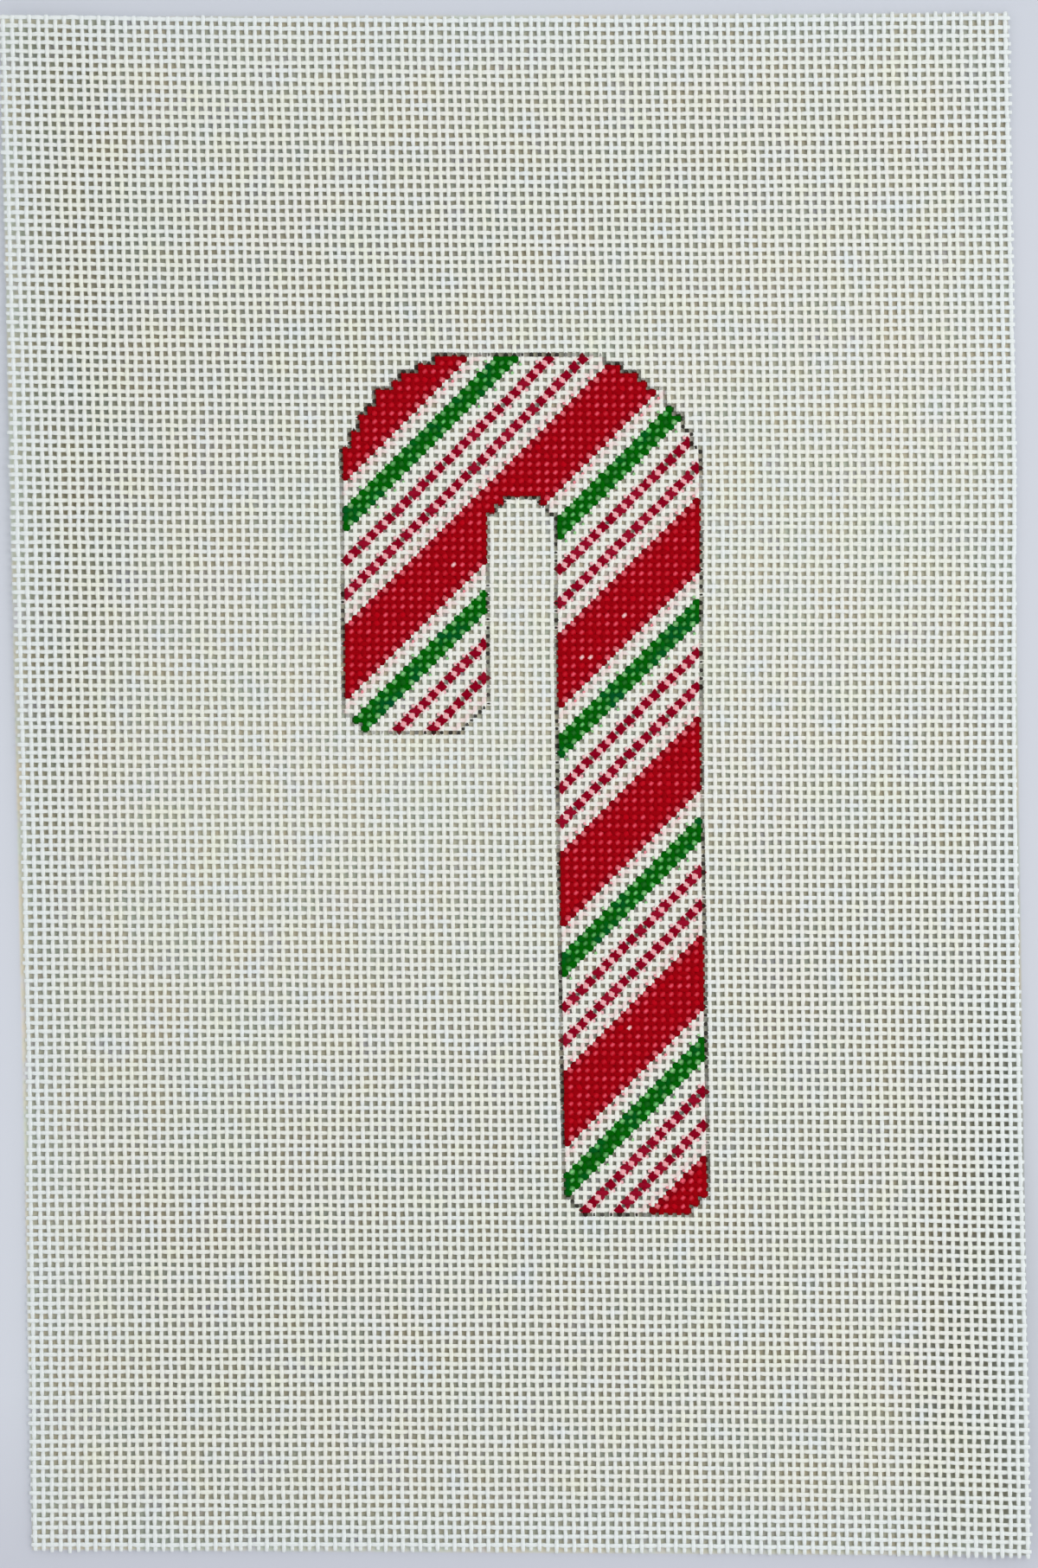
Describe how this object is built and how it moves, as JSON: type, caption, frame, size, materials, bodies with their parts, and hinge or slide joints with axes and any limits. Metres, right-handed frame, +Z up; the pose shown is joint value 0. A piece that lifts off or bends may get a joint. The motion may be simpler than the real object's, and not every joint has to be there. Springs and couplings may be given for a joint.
{
  "type": "needlepoint canvas",
  "caption": "Flat piece of open-weave needlepoint canvas with a striped candy cane painted on it as a stitching guide.",
  "frame": {"origin": "under the middle of the canvas, on the surface it lies on", "axes": "+X to the canvas's right, +Y to its top end, +Z up out of the painted face"},
  "size_m": [0.1704, 0.255, 0.0021],
  "materials": {
    "canvas": "stiffened white cotton mesh, with red, green and white acrylic paint on the cane"
  },
  "bodies": {
    "root": {"canvas": "canvas"}
  },
  "joints": []
}
